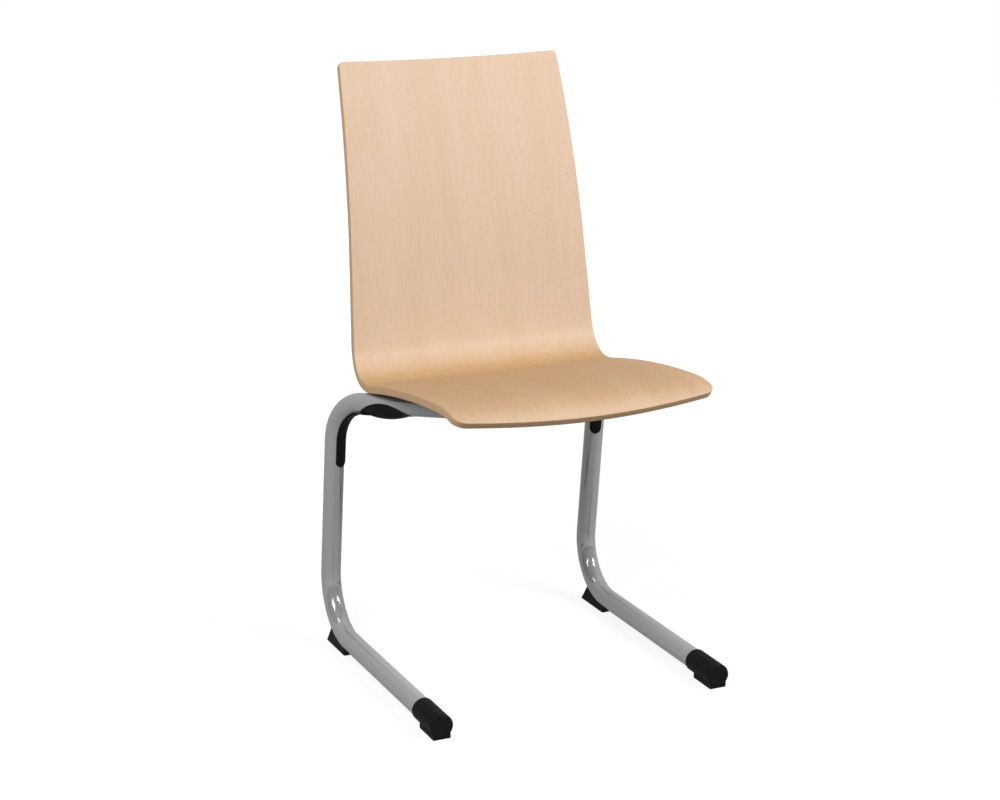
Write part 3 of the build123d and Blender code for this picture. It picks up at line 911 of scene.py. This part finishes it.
@dataclass(frozen=True)
class WeldSeam:
    """Rippled bead of weld round the end of a piece, where it meets the tube that carries it."""

    piece: str
    carrier: str
    radius: float = 1.9
    ripple: float = 3.2
    ripple_height: float = 0.2
    steps_per_ripple: int = 4
    sides: int = 8
    reach: float = 0.3
    merging: float = 0.001
    sharp: float = 30.0

    def build(self) -> bpy.types.Object:
        """Lay the bead along the piece's outer rim on the carrier.

        Returns:
            The bead's object.
        """
        carrier = bmesh.new()
        carrier.from_mesh(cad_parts[self.carrier].data)
        surface = BVHTree.FromBMesh(carrier)
        carrier.free()
        path = self._evened(max(self._rims(surface), key=self._length))
        bead = bmesh.new()
        rings = [self._ring(bead, surface, path, place) for place in range(len(path))]
        for ring, following in zip(rings, rings[1:] + rings[:1]):
            for side in range(self.sides):
                beside = (side + 1) % self.sides
                face = bead.faces.new((ring[side], ring[beside], following[beside], following[side]))
                face.smooth = True
        bmesh.ops.recalc_face_normals(bead, faces=bead.faces)
        name = f"{self.piece}_{self.carrier.split('_')[0]}_weld"
        mesh = bpy.data.meshes.new(name)
        bead.to_mesh(mesh)
        bead.free()
        weld = bpy.data.objects.new(name, mesh)
        bpy.context.scene.collection.objects.link(weld)
        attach(weld, "root")
        return weld

    def _rims(self, surface: BVHTree) -> list[list[Vector]]:
        """Find the piece's sharp rims that lie on the carrier.

        Args:
            surface: The carrier's surface.

        Returns:
            The closed rims, each as its points in order.
        """
        piece = bmesh.new()
        piece.from_mesh(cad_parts[self.piece].data)
        bmesh.ops.remove_doubles(piece, verts=piece.verts, dist=self.merging * METRES)
        reach = self.reach * METRES
        near = {vert for vert in piece.verts if surface.find_nearest(vert.co)[3] < reach}
        beside: dict[bmesh.types.BMVert, list[bmesh.types.BMVert]] = {}
        for edge in piece.edges:
            if near.issuperset(edge.verts) and edge.calc_face_angle(0.0) > math.radians(self.sharp):
                first, second = edge.verts
                beside.setdefault(first, []).append(second)
                beside.setdefault(second, []).append(first)
        rims: list[list[Vector]] = []
        while beside:
            vert = next(iter(beside))
            rims.append([])
            while vert in beside:
                rims[-1].append(vert.co.copy())
                vert = next((other for other in beside.pop(vert) if other in beside), None)
        piece.free()
        return rims

    @staticmethod
    def _length(rim: list[Vector]) -> float:
        """Measure once round a rim.

        Args:
            rim: The rim's points.

        Returns:
            The length.
        """
        return sum((end - start).length for start, end in zip(rim, rim[1:] + rim[:1]))

    def _evened(self, rim: list[Vector]) -> list[Vector]:
        """Place points at even steps round a rim, with whole ripples.

        Args:
            rim: The rim's own points.

        Returns:
            The even points.
        """
        count = round(self._length(rim) / (self.ripple * METRES)) * self.steps_per_ripple
        step = self._length(rim) / count
        points: list[Vector] = []
        passed = 0.0
        for start, end in zip(rim, rim[1:] + rim[:1]):
            length = (end - start).length
            while len(points) * step < passed + length and len(points) < count:
                points.append(start.lerp(end, (len(points) * step - passed) / length))
            passed += length
        return points

    def _ring(
        self, bead: BMesh, surface: BVHTree, path: list[Vector], place: int
    ) -> list[bmesh.types.BMVert]:
        """Add one ring of the bead.

        Args:
            bead: The bead's mesh.
            surface: The carrier's surface, which sets the ring's turn.
            path: The points along the seam.
            place: The number of the ring's point.

        Returns:
            The ring's points.
        """
        centre = path[place]
        onward = (path[(place + 1) % len(path)] - path[place - 1]).normalized()
        sideways = onward.cross(surface.find_nearest(centre)[1]).normalized()
        outward = sideways.cross(onward)
        wave = math.sin(2 * math.pi * place / self.steps_per_ripple)
        radius = (self.radius + self.ripple_height * wave) * METRES
        ring: list[bmesh.types.BMVert] = []
        for side in range(self.sides):
            turn = 2 * math.pi * side / self.sides
            spoke = math.cos(turn) * outward + math.sin(turn) * sideways
            ring.append(bead.verts.new(centre + radius * spoke))
        return ring


@dataclass
class Frame:
    """The bent tubes, the cross tube and the lugs, which keep their CAD shapes, and their welds."""

    paint: SilverPaint = field(default_factory=SilverPaint)
    sides: tuple[str, ...] = ("left", "right")
    nodes: tuple[str, ...] = (
        "left_side_tube",
        "right_side_tube",
        "seat_cross_tube",
        "left_rear_seat_lug",
        "right_rear_seat_lug",
        "left_front_seat_lug",
        "right_front_seat_lug",
    )

    def build(self) -> list[bpy.types.Object]:
        """Lay the welds that hold the cross tube and the lugs.

        Returns:
            The beads.
        """
        welds = []
        for side in self.sides:
            for piece in ("seat_cross_tube", f"{side}_rear_seat_lug", f"{side}_front_seat_lug"):
                welds.append(WeldSeam(piece, f"{side}_side_tube").build())
                log.info("%s has %d faces", welds[-1].name, len(welds[-1].data.polygons))
        return welds

    def dress(self, welds: list[bpy.types.Object]) -> None:
        """Paint the frame.

        Args:
            welds: The beads that build made.
        """
        paint = self.paint.material()
        dress_nodes(self.nodes, paint)
        for weld in welds:
            weld.data.materials.append(paint)


@dataclass
class PlasticParts:
    """Glides, guards, plugs and spacers, which keep their CAD shapes."""

    plastic: BlackPlastic = field(default_factory=BlackPlastic)
    nodes: tuple[str, ...] = (
        "seat_spacer_pads",
        "left_front_glide",
        "right_front_glide",
        "left_rear_glide",
        "right_rear_glide",
        "left_bend_guard",
        "right_bend_guard",
        "left_arm_plug",
        "right_arm_plug",
    )

    def dress(self) -> None:
        """Give the mouldings their plastic."""
        dress_nodes(self.nodes, self.plastic.material())


@dataclass
class Fixings:
    """Screws, washers and inserts, which keep their CAD shapes."""

    zinc: PlatedMetal = PlatedMetal(
        "zinc_plate",
        bright=(0.58, 0.60, 0.62, 1.0),
        dull=(0.40, 0.41, 0.42, 1.0),
        roughness=0.34,
    )
    brass: PlatedMetal = PlatedMetal(
        "turned_brass",
        bright=(0.60, 0.40, 0.14, 1.0),
        dull=(0.42, 0.27, 0.09, 1.0),
        roughness=0.30,
    )

    def dress(self) -> None:
        """Give the fixings their metals."""
        dress_nodes(("seat_washers", "seat_screws", "rear_glide_screws"), self.zinc.material())
        dress_nodes(("seat_inserts",), self.brass.material())


def dress_nodes(names: tuple[str, ...], material: bpy.types.Material) -> None:
    """Put one material on several CAD nodes.

    Args:
        names: The nodes.
        material: What they are made of.
    """
    for name in names:
        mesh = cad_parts[name].data
        mesh.materials.clear()
        mesh.materials.append(material)
        log.info("%s dressed in %s", name, material.name)


@dataclass(frozen=True)
class SoftLamp:
    """Square soft lamp that faces the chair, and that gloss may mirror or not."""

    name: str
    place: Place
    size: float
    power: float
    mirrored: bool = True
    aim: Place = (0.0, 0.0, 0.45)

    def hang(self) -> None:
        """Put the lamp in its place."""
        lamp = bpy.data.lights.new(self.name, "AREA")
        lamp.size = self.size
        lamp.energy = self.power
        holder = bpy.data.objects.new(self.name, lamp)
        holder.location = self.place
        holder.visible_glossy = self.mirrored
        to_chair = Vector(self.aim) - Vector(self.place)
        holder.rotation_euler = to_chair.to_track_quat("-Z", "Y").to_euler()
        bpy.context.scene.collection.objects.link(holder)


@dataclass
class Studio:
    """Pale floor under a dim dome, four lamps and the camera at the photo's place."""

    lamps: tuple[SoftLamp, ...] = (
        SoftLamp("left_lamp", (-2.65, -2.37, 3.30), 2.0, 150.0),
        SoftLamp("right_lamp", (2.00, -2.00, 2.37), 1.5, 97.0),
        SoftLamp("top_lamp", (-1.27, 0.49, 2.90), 0.7, 10.0),
        SoftLamp("back_fill", (0.20, 3.60, 0.80), 1.6, 75.0, mirrored=False),
    )
    camera_place: Place = (-1.34681, -2.87800, 1.28741)
    camera_tilt: float = 74.426
    camera_heading: float = -24.635
    lens: float = 81.954
    sensor: float = 36.0
    farthest: float = 100.0
    floor_reach: float = 12.0
    floor_tone: float = 0.18
    floor_glow: float = 0.85
    floor_fade: Span = (0.4, 3.0)
    sheen: float = 1.00
    gloom: float = 0.25
    cove_side: Place = (0.45, 0.89, 0.0)
    wall: float = 0.16
    wall_side: Place = (0.40, -0.92, 0.0)
    wall_edge: Span = (0.30, 0.95)
    backdrop: float = 0.55
    backdrop_side: Place = (0.0, 1.0, 0.0)
    backdrop_edge: Span = (0.60, 0.90)
    wall_top: float = 0.520
    sky: float = 0.04
    softness: float = 0.005

    def build(self) -> None:
        """Set up everything round the chair."""
        self._floor()
        self._dome()
        for lamp in self.lamps:
            lamp.hang()
        self._camera()
        bpy.context.scene.view_settings.view_transform = "Standard"

    def _floor(self) -> None:
        """Lay a wide pale floor that keeps the chair's shadow, and looks white to the camera and in gloss."""
        board = bmesh.new()
        bmesh.ops.create_grid(board, x_segments=1, y_segments=1, size=self.floor_reach)
        mesh = bpy.data.meshes.new("floor")
        board.to_mesh(mesh)
        board.free()
        floor = bpy.data.objects.new("floor", mesh)
        bpy.context.scene.collection.objects.link(floor)
        bench = Bench.for_material("pale_floor")
        camera, mirrored = bench.rays()
        away = bench.add("VectorMath", {0: bench.place()}, operation="LENGTH").outputs["Value"]
        far = bench.ramp(away, *self.floor_fade)
        white = bench.math("MULTIPLY_ADD", far, 1.0 - self.floor_glow, self.floor_glow)
        sheen = bench.math("MULTIPLY", mirrored, self.sheen)
        glow = bench.add("Emission", {"Strength": bench.math("MULTIPLY_ADD", camera, white, sheen)})
        pale = bench.add("BsdfDiffuse", {"Color": (self.floor_tone,) * 3 + (1.0,)})
        shown = bench.add("AddShader", {0: pale.outputs[0], 1: glow.outputs[0]})
        bench.add("OutputMaterial", {"Surface": shown.outputs[0]})
        mesh.materials.append(bench.owner)

    def _dome(self) -> None:
        """Fill the room with soft light: a dim dome, a lit wall and a lit backdrop.

        The camera sees plain white. Gloss sees a white cove behind the chair and gloom in front of it.
        """
        world = bpy.data.worlds.new("studio_dome")
        bpy.context.scene.world = world
        room = Bench(world)
        camera, mirrored = room.rays()
        direction = room.add("TexCoord").outputs["Generated"]
        walls: object = 0.0
        for side, edge, strength in (
            (self.wall_side, self.wall_edge, self.wall),
            (self.backdrop_side, self.backdrop_edge, self.backdrop),
        ):
            lit = room.ramp(room.towards(direction, side), *edge)
            walls = room.math("MULTIPLY_ADD", lit, strength, walls)
        height = room.add("SeparateXYZ", {0: direction}).outputs[2]
        low = room.ramp(height, self.wall_top + self.softness, self.wall_top - self.softness)
        behind = room.ramp(room.towards(direction, self.cove_side), -self.softness, self.softness)
        cove = room.math("MULTIPLY_ADD", behind, self.sheen - self.gloom, self.gloom)
        shine = room.math("MULTIPLY", mirrored, cove)
        seen = room.math("MAXIMUM", room.math("MULTIPLY", walls, low), shine)
        shown = room.math("MAXIMUM", room.math("ADD", seen, self.sky), camera)
        background = room.add("Background", {"Color": (1.0, 1.0, 1.0, 1.0), "Strength": shown})
        room.add("OutputWorld", {"Surface": background.outputs[0]})

    def _camera(self) -> None:
        """Put the camera where the photo was taken from."""
        data = bpy.data.cameras.new("camera")
        data.sensor_fit = "HORIZONTAL"
        data.sensor_width = self.sensor
        data.lens = self.lens
        data.clip_end = self.farthest
        camera = bpy.data.objects.new("camera", data)
        camera.location = self.camera_place
        camera.rotation_euler = (math.radians(self.camera_tilt), 0.0, math.radians(self.camera_heading))
        bpy.context.scene.collection.objects.link(camera)
        bpy.context.scene.camera = camera


def main() -> None:
    """Build the chair's pieces in order, then the studio."""
    logging.basicConfig(level=logging.INFO, format="%(name)s: %(message)s")
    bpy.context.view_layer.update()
    shell = Shell()
    piece = shell.build()
    shell.dress(piece)
    log.info("%s has %d faces", piece.name, len(piece.data.polygons))
    tubes = Frame()
    tubes.dress(tubes.build())
    for group in (PlasticParts(), Fixings()):
        group.dress()
    Studio().build()


if __name__ == "__main__":
    main()
